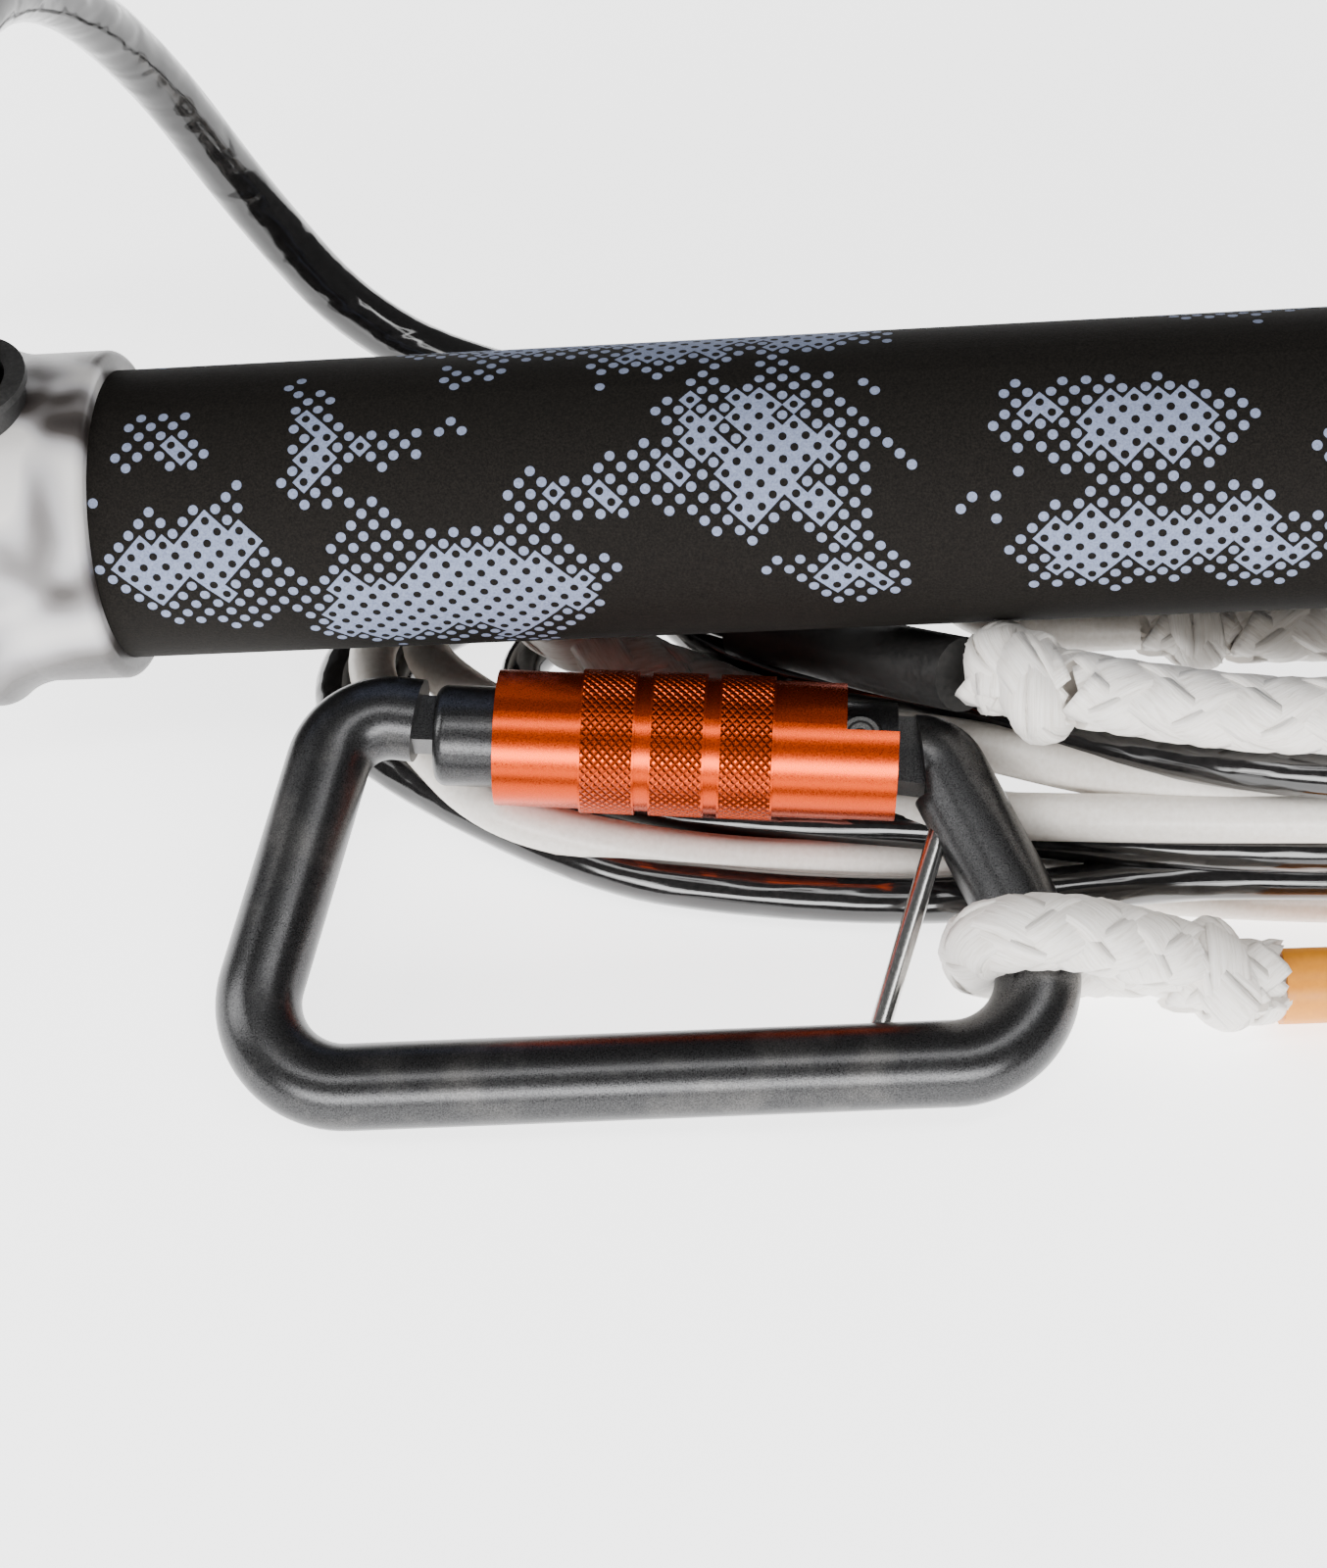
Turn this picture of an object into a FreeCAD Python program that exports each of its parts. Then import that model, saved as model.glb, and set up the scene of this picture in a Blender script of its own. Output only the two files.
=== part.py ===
"""Tow rope handle lying on a table: foam handle, coiled coated line and an auto-locking carabiner.

Millimetres, +Z up. The floor is Z = 0. X runs along the handle from its left to its right end, Y away
from the carabiner. The origin is on the floor, in the middle of the rigid pieces' bounding box.
"""

import math
import os

import FreeCAD
import Part
from FreeCAD import Placement, Rotation, Vector

X_AXIS = Vector(1, 0, 0)
Y_AXIS = Vector(0, 1, 0)
Z_AXIS = Vector(0, 0, 1)
GAP = 0.3  # clearance between pieces that move past each other

# Handle, in its own frame: x along the grip from its middle
GRIP_R = 18.5
GRIP_VISIBLE_HALF = 131.0  # from the middle to the end cap's rim
CORE_R = 12.7
CORE_BORE_R = 10.9
CORE_HALF = 150.0
CAP_OVERLAP = 7.0  # foam hidden under the cap's collar
CAP_LENGTH = 34.0
COLLAR_R = GRIP_R + 2.6
FLANGE_R = GRIP_R + 5.6
ROPE_HOLE_X = GRIP_VISIBLE_HALF + 14.5
GROMMET_R = 6.6
GROMMET_BORE_R = 5.0
PLUG_LENGTH = 30.0
PLUG_OUTER_END = 130.0

# Where the handle lies: over the hank, its left end on the floor
HANDLE_YAW = -2.5
HANDLE_RISE = 6.5
HANDLE_AT = Placement(
    Vector(0, 20.15, 44.1),
    Rotation(Z_AXIS, HANDLE_YAW).multiply(Rotation(Y_AXIS, -HANDLE_RISE)),
)

# Carabiner, in its own frame: x along the spine from its middle, y towards the gate, z up out of its plane
ROD_R = 5.3
PIVOT = Vector(28.1, 41.2, 0)
GATE_SLOPE = 5.0  # the gate runs down towards the hinge
SPINE_RISE = 1.5  # its right end lies on the rope's eye
PLANE_TILT = 16.0  # its gate side lies on the hank
CARABINER_AT = Placement(
    Vector(-63, -45.25, ROD_R + 0.99),
    Rotation(Z_AXIS, 1.7)
    .multiply(Rotation(Y_AXIS, -SPINE_RISE))
    .multiply(Rotation(X_AXIS, PLANE_TILT)),
)
# Gate, in its own frame: x along the gate towards the hinge, from the rivet
GATE_AT = CARABINER_AT.multiply(Placement(PIVOT, Rotation(Z_AXIS, -GATE_SLOPE)))
GATE_R = 6.4
GATE_NOSE_X = -53.4
GATE_HINGE_X = 4.6
TANG_HALF = 2.4
RIVET_R = 1.6
RIVET_FIT = 0.05
RIVET_HEAD_R = 2.3
RIVET_SEAT_Z = 5.2
SLEEVE_R = 8.6
BAND_R = 9.1
SLEEVE_LAND_R = GATE_R + GAP
SLEEVE_BORE_R = 7.7
SLEEVE_NOSE_X = -45.6
SLEEVE_RING_END_X = -1.8
SLEEVE_TAB_END_X = 4.7
TAB_SPREAD = 100.0
TAB_START = -4.0
BAND_STARTS = (-34.9, -26.2, -17.6)
BAND_LENGTH = 6.9
PIN_R = 1.3

# Rope
BRIDLE_R = 4.0
YELLOW_R = 4.8
LINE_D = 6.2
COVER_R = 4.75
LINK_R = 4.7
KNOT_R = 7.3
KNOT_LENGTH = 14.6

# Hank of line: oval layers, each (low, high, left, right, front, back, inner front, inner back)
HANK_END_LENGTH = 72.0
HANK_FLOOR = (0, 6.4, -107, 228, -20, 51, 5, 26)
HANK_SECOND = (6.4, 12.6, -107, 226, -20.5, 49, 7, 28)
HANK_THIRD = (12.6, 18.8, -107, 224, -21, 46, 2, 28)
HANK_WALL = (18.8, 30.4, -107, 222, -21, 45, -15.3, 39)
SECOND_LEFT = -28.0  # further left the gate's side of the carabiner and the handle lie low
FRONT_LEFT = 3.0  # further left the front strands lie flat under the carabiner
WALL_LEFT = 13.0

SLEEVE_SWEEP_LOW = 4.8  # height of the turns where the opening gate's sleeve passes over them

TIE_LEFT = 150.0
TIE_WIDTH = 18.0
TIE_THICKNESS = 1.6

nodes = {}


def add(name, shape):
    """Keep one closed solid under its node name."""
    solids = shape.Solids
    if len(solids) != 1:
        raise ValueError(f"{name} has {len(solids)} solids")
    nodes[name] = solids[0]


def placed(shape, placement):
    moved = shape.copy()
    moved.transformShape(placement.toMatrix(), True)
    return moved


def rod(radius, start, end, axis=X_AXIS):
    """A cylinder along a frame axis, between two positions on it."""
    return Part.makeCylinder(radius, end - start, axis * start, axis)


def tube(outer, inner, start, end):
    return rod(outer, start, end).cut(rod(inner, start - 1, end + 1))


def prism(points, low, high):
    """A flat outline in x and y, thick from z = low to z = high."""
    corners = [Vector(x, y, low) for x, y in points]
    face = Part.Face(Part.makePolygon(corners + corners[:1]))
    return face.extrude(Vector(0, 0, high - low))


def bend_radius(before, corner, after):
    """Radius of the arc that rounds a corner of a route, and the distance it takes from each run."""
    back = before - corner
    on = after - corner
    turn = math.pi - back.getAngle(on)
    reach = 0.45 * min(back.Length, on.Length)
    return reach / math.tan(turn / 2), reach


def route_wire(points, radii=None):
    """Straight runs joined by tangent arcs. Without radii each arc is as large as its runs allow."""
    edges = []
    here = points[0]
    used = []
    for i in range(1, len(points) - 1):
        corner = points[i]
        back = (points[i - 1] - corner).normalize()
        on = (points[i + 1] - corner).normalize()
        radius, reach = bend_radius(points[i - 1], corner, points[i + 1])
        if radii:
            turn = math.pi - back.getAngle(on)
            radius = radii[i - 1]
            reach = radius * math.tan(turn / 2)
        used.append(radius)
        start = corner + back * reach
        end = corner + on * reach
        inward = (back + on).normalize()
        half = back.getAngle(on) / 2
        middle = corner + inward * (radius / math.sin(half) - radius)
        edges.append(Part.LineSegment(here, start).toShape())
        edges.append(Part.Arc(start, middle, end).toShape())
        here = end
    edges.append(Part.LineSegment(here, points[-1]).toShape())
    return Part.Wire(edges), used


def sweep(points, radius, radii=None):
    """A round bar along a route, with the wire it follows and the radii of its bends."""
    wire, used = route_wire(points, radii)
    start = points[0]
    direction = (points[1] - start).normalize()
    profile = Part.Wire(Part.makeCircle(radius, start, direction))
    return wire.makePipeShell([profile], True, True), wire, used


def cord(name, points, radius):
    """A stretch of rope in a node of its own. Prints its length, its tightest bend and its volume's error."""
    solid, wire, used = sweep([Vector(*p) for p in points], radius)
    ideal = math.pi * radius**2 * wire.Length
    error = solid.Volume / ideal - 1
    print(f"{name}: {wire.Length:.0f} mm, bends {[round(r) for r in used]}, volume {error:+.4f}")
    add(name, solid)


def barrel(centre, half_length, radius, direction=X_AXIS, rounding=0.6):
    """A knot's plain solid: a short drum with rounded ends."""
    body = Part.makeCylinder(radius, 2 * half_length, centre - direction * half_length, direction)
    round_edges = [e for e in body.Edges if isinstance(e.Curve, Part.Circle)]
    return body.makeFillet(radius * rounding, round_edges)


# ---------------------------------------------------------------- handle


def cap_outline(side):
    """Half section of an end cap, from its rim over the foam to its closed end."""
    rim = GRIP_VISIBLE_HALF
    end = rim + CAP_LENGTH
    foam_end = rim + CAP_OVERLAP

    def at(x, r):
        return Vector(side * x, r, 0)

    edges = [
        Part.LineSegment(at(rim, GRIP_R), at(rim, COLLAR_R - 1.2)).toShape(),
        Part.Arc(at(rim, COLLAR_R - 1.2), at(rim + 0.5, COLLAR_R - 0.3), at(rim + 1.6, COLLAR_R)).toShape(),
        Part.LineSegment(at(rim + 1.6, COLLAR_R), at(rim + 11, COLLAR_R)).toShape(),
        Part.Arc(at(rim + 11, COLLAR_R), at(rim + 14, COLLAR_R + 0.8), at(rim + 16.5, FLANGE_R - 0.6)).toShape(),
        Part.Arc(
            at(rim + 16.5, FLANGE_R - 0.6), at(rim + 18.6, FLANGE_R), at(rim + 20.6, FLANGE_R - 0.9)
        ).toShape(),
        Part.Arc(at(rim + 20.6, FLANGE_R - 0.9), at(rim + 28.5, 17.5), at(end, 7)).toShape(),
        Part.LineSegment(at(end, 7), at(end, 0)).toShape(),
        Part.LineSegment(at(end, 0), at(CORE_HALF, 0)).toShape(),
        Part.LineSegment(at(CORE_HALF, 0), at(CORE_HALF, CORE_R)).toShape(),
        Part.LineSegment(at(CORE_HALF, CORE_R), at(foam_end, CORE_R)).toShape(),
        Part.LineSegment(at(foam_end, CORE_R), at(foam_end, GRIP_R)).toShape(),
        Part.LineSegment(at(foam_end, GRIP_R), at(rim, GRIP_R)).toShape(),
    ]
    return Part.Face(Part.Wire(Part.__sortEdges__(edges)))


def rope_hole(side, radius, low, high):
    """The upright hole near an end of the handle, between two heights above its axis."""
    return Part.makeCylinder(radius, high - low, Vector(side * ROPE_HOLE_X, 0, low), Z_AXIS)


def make_handle():
    foam_half = GRIP_VISIBLE_HALF + CAP_OVERLAP
    core = tube(CORE_R, CORE_BORE_R, -CORE_HALF, CORE_HALF)
    for side in (-1, 1):
        core = core.cut(rope_hole(side, GROMMET_BORE_R, 0, CORE_R + 1))
    add("grip_core_tube", placed(core, HANDLE_AT))
    add("foam_grip", placed(tube(GRIP_R, CORE_R, -foam_half, foam_half), HANDLE_AT))

    for side, word in ((-1, "left"), (1, "right")):
        cap = cap_outline(side).revolve(Vector(0, 0, 0), X_AXIS, 360)
        cap = cap.cut(rope_hole(side, GROMMET_R, CORE_R, FLANGE_R + 2))
        add(f"end_cap_{word}", placed(cap, HANDLE_AT))

        lip_low = FLANGE_R + 0.1
        grommet = rope_hole(side, GROMMET_R, CORE_R + 0.3, lip_low)
        grommet = grommet.fuse(rope_hole(side, GROMMET_R + 1.0, lip_low, lip_low + 1.2))
        grommet = grommet.cut(rope_hole(side, GROMMET_BORE_R, 0, FLANGE_R + 5))
        add(f"rope_grommet_{word}", placed(grommet.removeSplitter(), HANDLE_AT))

        inner = side * (PLUG_OUTER_END - PLUG_LENGTH)
        outer = side * PLUG_OUTER_END
        plug = rod(CORE_BORE_R, min(inner, outer), max(inner, outer))
        add(f"float_plug_{word}", placed(plug, HANDLE_AT))


# ---------------------------------------------------------------- carabiner


def frame_bar(radius):
    """The carabiner's round bar, from the nose round the spine to the hinge."""
    route = [
        Vector(-22, 46.9, 0),
        Vector(-36.9, 49.6, 0),
        Vector(-50.6, 0, 0),
        Vector(50.7, 0, 0),
        Vector(46.8, 18.8, 0),
        Vector(38.0, 40.0, 0),
        Vector(30, 40.7, 0),
    ]
    bar, _, _ = sweep(route, radius, [8, 11, 11, 45, 4])
    return bar


def make_frame():
    """The forged D frame: its bar, cut off at the nose and the hinge, with a flat tang at each end."""
    bar = frame_bar(ROD_R)
    depth = ROD_R + 3
    nose_waste = prism([(-25.8, 54), (-28.9, 41), (-10, 41), (-10, 54)], -depth, depth)
    hinge_waste = prism([(35.0, 50), (36.1, 34), (10, 34), (10, 50)], -depth, depth)
    nose_tang = prism([(-31, 44.6), (-20.5, 43.8), (-20.5, 49.6), (-31, 51)], -TANG_HALF, TANG_HALF)
    tang_r = 4.2
    hinge_tang = prism(
        [
            (PIVOT.x, PIVOT.y + tang_r),
            (37, 44.6),
            (40, 41),
            (40.5, 36.5),
            (37, 35.4),
            (PIVOT.x, PIVOT.y - tang_r),
        ],
        -TANG_HALF,
        TANG_HALF,
    )
    knuckle = Part.makeCylinder(tang_r, 2 * TANG_HALF, PIVOT - Z_AXIS * TANG_HALF, Z_AXIS)
    rivet_hole = Part.makeCylinder(RIVET_R, 20, PIVOT - Z_AXIS * 10, Z_AXIS)
    frame = bar.cut(nose_waste).cut(hinge_waste)
    frame = frame.fuse(nose_tang).fuse(hinge_tang.fuse(knuckle))
    return frame.cut(rivet_hole)


def captive_pin():
    """The thin steel rod that keeps the rope's eye in the narrow corner."""
    low = Vector(27.3, 1.6, 0)
    high = Vector(39.4, 35.6, 0)
    return Part.makeCylinder(PIN_R, (high - low).Length, low, high - low)


def rivet():
    shank = rod(RIVET_R, -RIVET_SEAT_Z, RIVET_SEAT_Z, Z_AXIS)
    head = rod(RIVET_HEAD_R, RIVET_SEAT_Z, RIVET_SEAT_Z + 0.8, Z_AXIS)
    tail = rod(RIVET_HEAD_R, -RIVET_SEAT_Z - 0.8, -RIVET_SEAT_Z, Z_AXIS)
    return shank.fuse([head, tail]).removeSplitter()


def gate_body():
    """The gate: a bar with a keyhole slot for the nose, a fork for the hinge and a bore for its spring."""
    bar = rod(GATE_R, GATE_NOSE_X, GATE_HINGE_X)
    nose_rim = [e for e in bar.Edges if abs(e.CenterOfMass.x - GATE_NOSE_X) < 0.1]
    bar = bar.makeFillet(1.5, nose_rim)
    slot_half = TANG_HALF + 0.35
    fork = Part.makeBox(12, 20, 2 * slot_half, Vector(-5, -10, -slot_half))
    key = Part.makeBox(7, 12, 2 * slot_half, Vector(GATE_NOSE_X - 1, -2.6, -slot_half))
    spring_bore = rod(1.9, -26, -4)
    rivet_hole = rod(RIVET_R + RIVET_FIT, -10, 10, Z_AXIS)
    seat_r = RIVET_HEAD_R + 0.4
    seats = [
        rod(seat_r, RIVET_SEAT_Z - 0.1, 9, Z_AXIS),
        rod(seat_r, -9, -RIVET_SEAT_Z + 0.1, Z_AXIS),
    ]
    return bar.cut([fork, key, spring_bore, rivet_hole] + seats)


def coil_spring(mean_r, wire_r, pitch, start, end):
    """A helical spring along the gate."""
    helix = Part.makeLongHelix(pitch, end - start, mean_r)
    profile = Part.Wire(Part.makeCircle(wire_r, Vector(mean_r, 0, 0), Y_AXIS))
    spring = Part.Wire(helix.Edges).makePipeShell([profile], True, True)
    spring.rotate(Vector(0, 0, 0), Y_AXIS, 90)
    spring.translate(X_AXIS * start)
    return spring


def locking_sleeve():
    """The twist-lock sleeve: three raised bands, and a tab beside the rivet that stops the gate."""
    body = rod(SLEEVE_R, SLEEVE_NOSE_X, SLEEVE_TAB_END_X)
    for start in BAND_STARTS:
        body = body.fuse(rod(BAND_R, start, start + BAND_LENGTH))
    body = body.removeSplitter()
    cavity = [
        rod(SLEEVE_LAND_R, SLEEVE_NOSE_X - 1, SLEEVE_TAB_END_X + 1),
        rod(SLEEVE_BORE_R, -40.0, -8.0),
    ]
    # the tab is kept between the ring's end and its own end, and the rest of that stretch is cut away
    stretch = rod(BAND_R + 1, SLEEVE_RING_END_X, SLEEVE_TAB_END_X + 1)
    waste = stretch.cut(tab_sector())
    return body.cut(cavity).cut(waste)


def tab_sector():
    """A wedge about the gate's axis that spans the tab, from just below the front round to the inner side."""
    reach = 3 * BAND_R
    steps = 4
    corners = [Vector(SLEEVE_RING_END_X - 1, 0, 0)]
    for i in range(steps + 1):
        angle = math.radians(TAB_START - TAB_SPREAD * i / steps)
        corners.append(Vector(SLEEVE_RING_END_X - 1, reach * math.sin(angle), reach * math.cos(angle)))
    face = Part.Face(Part.makePolygon(corners + corners[:1]))
    return face.extrude(X_AXIS * 12)


def make_carabiner():
    pin = captive_pin()
    add("carabiner_frame", placed(make_frame().cut(pin), CARABINER_AT))
    add("captive_pin", placed(pin, CARABINER_AT))
    add("hinge_rivet", placed(rivet(), GATE_AT))
    add("gate_body", placed(gate_body(), GATE_AT))
    add("gate_plunger", placed(rod(1.6, -12, -4.6), GATE_AT))
    add("gate_spring", placed(coil_spring(1.35, 0.25, 1.1, -25.5, -12.4), GATE_AT))
    carrier = tube(SLEEVE_BORE_R - GAP, GATE_R + GAP, -39.6, -35.6)
    add("sleeve_carrier", placed(carrier, GATE_AT))
    add("sleeve_spring", placed(coil_spring(7.1, 0.25, 3.2, -35.0, -12.4), GATE_AT))
    add("locking_sleeve", placed(locking_sleeve(), GATE_AT))


# ---------------------------------------------------------------- rope


def oval(left, right, front, back, low, high, end_length):
    """A flat oval with half-ellipse ends."""
    half = (back - front) / 2
    middle = (back + front) / 2
    near = left + end_length
    far = right - end_length
    curve_left = Part.Ellipse(Vector(near, middle, low), end_length, half)
    curve_right = Part.Ellipse(Vector(far, middle, low), end_length, half)
    edges = [
        Part.ArcOfEllipse(curve_left, math.pi / 2, 3 * math.pi / 2).toShape(),
        Part.LineSegment(Vector(near, front, low), Vector(far, front, low)).toShape(),
        Part.ArcOfEllipse(curve_right, -math.pi / 2, math.pi / 2).toShape(),
        Part.LineSegment(Vector(far, back, low), Vector(near, back, low)).toShape(),
    ]
    face = Part.Face(Part.Wire(Part.__sortEdges__(edges)))
    return face.extrude(Vector(0, 0, high - low))


def hank_layer(low, high, left, right, front, back, inner_front, inner_back):
    """One layer of the hank: an oval with a smaller oval cut out of it."""
    width = 3 * LINE_D
    outer = oval(left, right, front, back, low, high, HANK_END_LENGTH)
    inner = oval(left + width, right - width, inner_front, inner_back, low, high, HANK_END_LENGTH - width)
    return outer.cut(inner)


def without(shape, x, y=200):
    """A layer without what lies left of x and in front of y."""
    far = 300
    return shape.cut(Part.makeBox(far, far + y, 60, Vector(x - far, -far, 0)))


def make_hank():
    """The put-away line as one solid, a shallow channel under it for the tie, and the tie round it."""
    floor = hank_layer(*HANK_FLOOR)
    second = without(without(hank_layer(*HANK_SECOND), SECOND_LEFT), FRONT_LEFT, HANK_SECOND[6] + 1)
    third = without(hank_layer(*HANK_THIRD), FRONT_LEFT)
    wall = without(hank_layer(*HANK_WALL), WALL_LEFT)
    hank = floor.fuse([second, third, wall]).removeSplitter()
    channel = Part.makeBox(
        TIE_WIDTH + 0.6, 200, TIE_THICKNESS + 0.1, Vector(TIE_LEFT - 0.3, -100, 0)
    )
    # the turns lie pressed flat where the opening gate's sleeve passes over them
    sweep_room = Part.makeBox(85, 40, 5, Vector(-113, -35, SLEEVE_SWEEP_LOW))
    add("line_hank", hank.cut(channel).cut(sweep_room))

    front = HANK_WALL[4] - GAP
    width = HANK_FLOOR[5] + GAP - front
    height = HANK_WALL[1] + GAP - TIE_THICKNESS
    inside = Part.makeBox(TIE_WIDTH + 2, width, height, Vector(TIE_LEFT - 1, front, TIE_THICKNESS))
    outside = Part.makeBox(
        TIE_WIDTH,
        width + 2 * TIE_THICKNESS,
        height + 2 * TIE_THICKNESS,
        Vector(TIE_LEFT, front - TIE_THICKNESS, 0),
    )
    long_edges = [e for e in outside.Edges if abs(e.tangentAt(e.FirstParameter).x) > 0.9]
    add("hank_tie", outside.makeFillet(1.5, long_edges).cut(inside))


def eye_loop():
    """The flattened braid eye round the carabiner's narrow corner: level outside, along the bar inside."""
    bar_point = Vector(48.1, 13.0, 0)
    bar_direction = Vector(-3.9, 18.8, 0).normalize()
    centre = CARABINER_AT.multVec(bar_point)
    along = CARABINER_AT.Rotation.multVec(bar_direction)
    width = 10.5
    reach = 5.0

    def stadium(radius, at, direction, length):
        """A prism along direction, its section a stadium that is long towards +X."""
        outward = X_AXIS - direction * X_AXIS.dot(direction)
        outward.normalize()
        upward = direction.cross(outward)
        start = at - direction * (length / 2)
        far = start + outward * reach
        edges = [
            Part.Arc(start + upward * radius, start - outward * radius, start - upward * radius).toShape(),
            Part.LineSegment(start - upward * radius, far - upward * radius).toShape(),
            Part.Arc(far - upward * radius, far + outward * radius, far + upward * radius).toShape(),
            Part.LineSegment(far + upward * radius, start + upward * radius).toShape(),
        ]
        return Part.Face(Part.Wire(edges)).extrude(direction * length)

    outer = stadium(centre.z - 0.1, centre, Y_AXIS, width)
    inner = stadium(ROD_R + 2 * GAP, centre, along, width + 30)
    clearance = placed(frame_bar(ROD_R + GAP), CARABINER_AT)
    return outer.cut(inner).cut(clearance), centre


def make_boat_end():
    """The eye on the carabiner, its knot, and the yellow line round the right end of the hank."""
    eye, centre = eye_loop()
    add("carabiner_eye", eye)
    knot_x = centre.x + 5.0 + centre.z + KNOT_LENGTH / 2
    add("eye_knot", barrel(Vector(knot_x, centre.y, KNOT_R), KNOT_LENGTH / 2, KNOT_R))
    yellow = [
        (knot_x + KNOT_LENGTH / 2, centre.y, 5.2),
        (46, -30, 4.9),
        (88, -30.5, 4.9),
        (130, -30, 4.9),
        (172, -30.5, 4.9),
        (208, -26, 4.9),
        (236, -9, 4.9),
        (246, 17, 4.9),
        (234, 45, 4.9),
        (206, 59, 4.9),
        (168, 62.5, 4.9),
        (128, 62, 4.9),
        (92, 62.5, 5.2),
    ]
    cord("yellow_line", yellow, YELLOW_R)
    yellow_knot = Vector(92 - KNOT_LENGTH / 2, 62.5, KNOT_R)
    add("yellow_knot", barrel(yellow_knot, KNOT_LENGTH / 2, KNOT_R))


def make_bridle():
    """The two legs that leave the end caps upwards and lie down behind the hank, to one knot."""
    exits = []
    for side in (-1, 1):
        inside = HANDLE_AT.multVec(Vector(side * ROPE_HOLE_X, 0, CORE_R + 1))
        above = HANDLE_AT.multVec(Vector(side * ROPE_HOLE_X, 0, FLANGE_R + 12))
        exits.append([tuple(inside), tuple(above)])
    left = [
        (-149.5, 37, 80),
        (-146, 57, 86),
        (-140, 76, 75),
        (-131, 88, 52),
        (-120, 89, 27),
        (-104, 81, 9),
        (-81, 74, 4.1),
        (-52, 70, 4.1),
        (-20, 69, 4.1),
        (10, 70.5, 4.4),
        (38.7, 71.7, 6),
    ]
    right = [
        (137, 23, 113),
        (133, 43, 118),
        (128, 62, 106),
        (122, 75, 82),
        (114, 82, 56),
        (104, 83, 32),
        (90, 79, 14),
        (73, 75, 6.5),
        (53.3, 72.5, 6.5),
    ]
    cord("bridle_left", exits[0] + left, BRIDLE_R)
    cord("bridle_right", exits[1] + right, BRIDLE_R)
    add("bridle_knot", barrel(Vector(46, 72, KNOT_R), KNOT_LENGTH / 2, KNOT_R))


def make_line_joint():
    """Where the black and the white line meet under the handle: two knots and the braids between them."""
    cord(
        "splice_cover",
        [(-51, 23, 11.6), (-42, 18.5, 13.3), (-33, 11.5, 17.3), (-23.4, 1.5, 26)],
        COVER_R,
    )
    knot_start = Vector(-23.2, 1.3, 26.2)
    knot_end = Vector(-8.8, -6, 31.8)
    middle = (knot_start + knot_end) / 2
    along = (knot_end - knot_start).normalize()
    add("black_line_knot", barrel(middle, KNOT_LENGTH / 2, KNOT_R, along))
    black_braid = [
        tuple(knot_end - along),
        (6, -10.6, 33.2),
        (22, -11.8, 33.9),
        (38, -10, 33.4),
        (52, -5, 31),
        (65, 1, 28.6),
        (76, 4.3, 27.4),
    ]
    cord("black_line_braid", black_braid, LINK_R)
    add("white_line_knot", barrel(Vector(7, 14.8, 20), 6.4, 6.3))
    white_braid = [
        (13.4, 14.6, 20),
        (27, 14.6, 20.4),
        (41, 14.2, 22),
        (53, 13.9, 24.4),
        (65, 13.9, 26.6),
        (76, 13.9, 27.4),
    ]
    cord("white_line_braid", white_braid, LINK_R)
    tail = [
        (77.4, 62.5, 6.6),
        (58, 60.2, 5),
        (30, 58.2, 5),
        (0, 57.6, 5),
        (-30, 58.2, 5),
        (-55, 56.5, 7),
        (-73, 49.5, 11),
        (-82, 38, 11.5),
        (-80, 27, 11.3),
        (-71, 20.5, 9.4),
        (-59, 16.8, 5.8),
        (-48, 12.5, 5),
    ]
    cord("white_line_tail", tail, LINK_R)
    add("junction_knot", barrel(Vector(85, 9, 27.2), 9, 7.8))


def make_rope():
    make_hank()
    make_boat_end()
    make_bridle()
    make_line_joint()


def report_frame():
    """Print the joint positions, and the rigid pieces' box, which the origin is the middle of."""
    soft = ("bridle", "black", "white", "yellow", "line", "hank", "eye", "junction", "splice", "carabiner_eye")
    box = FreeCAD.BoundBox()
    for name, shape in nodes.items():
        if not name.startswith(soft):
            box.add(shape.BoundBox)
    print("rigid box", box, "centre", (box.XMin + box.XMax) / 2, (box.YMin + box.YMax) / 2)
    rotation = CARABINER_AT.Rotation
    print("pivot", CARABINER_AT.multVec(PIVOT), "normal", rotation.multVec(Z_AXIS))
    print("gate direction to the nose", GATE_AT.Rotation.multVec(-X_AXIS))


make_handle()
make_carabiner()
make_rope()
report_frame()
os.makedirs("parts", exist_ok=True)
for name, shape in nodes.items():
    if not shape.isValid():
        print("NOT VALID", name)
    shape.exportStep(f"parts/{name}.step")
print(len(nodes), "nodes")
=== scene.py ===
"""Tow rope handle on a pale floor: foam handle, hank of coated line, braided joints and a locking carabiner.

Lengths in the tables are millimetres in the same frame as the CAD parts, and are turned to metres once.
"""

import math

import bmesh
import bpy
from mathutils import Euler, Matrix, Vector


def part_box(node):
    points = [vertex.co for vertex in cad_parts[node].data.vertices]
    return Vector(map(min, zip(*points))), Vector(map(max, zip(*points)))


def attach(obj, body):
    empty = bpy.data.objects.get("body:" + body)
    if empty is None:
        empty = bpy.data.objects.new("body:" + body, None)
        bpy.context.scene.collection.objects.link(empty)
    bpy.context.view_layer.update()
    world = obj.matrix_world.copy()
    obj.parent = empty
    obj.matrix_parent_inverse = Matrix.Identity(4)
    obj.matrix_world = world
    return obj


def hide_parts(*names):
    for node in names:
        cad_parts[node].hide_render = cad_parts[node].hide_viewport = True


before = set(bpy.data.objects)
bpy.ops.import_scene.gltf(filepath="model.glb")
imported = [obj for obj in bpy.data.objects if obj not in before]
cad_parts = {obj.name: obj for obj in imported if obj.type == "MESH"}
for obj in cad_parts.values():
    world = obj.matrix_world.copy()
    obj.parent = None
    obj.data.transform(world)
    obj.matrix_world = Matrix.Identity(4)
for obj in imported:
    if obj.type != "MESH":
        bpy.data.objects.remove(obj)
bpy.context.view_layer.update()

MM = 0.001
ROOT = "rope_and_handle"

# Handle
GRIP_R = 18.5
HANDLE_AT = (0, 20.15, 44.1)
HANDLE_TURN = (0, -6.5, -2.5)
ROPE_HOLE_X = 145.5

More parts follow.
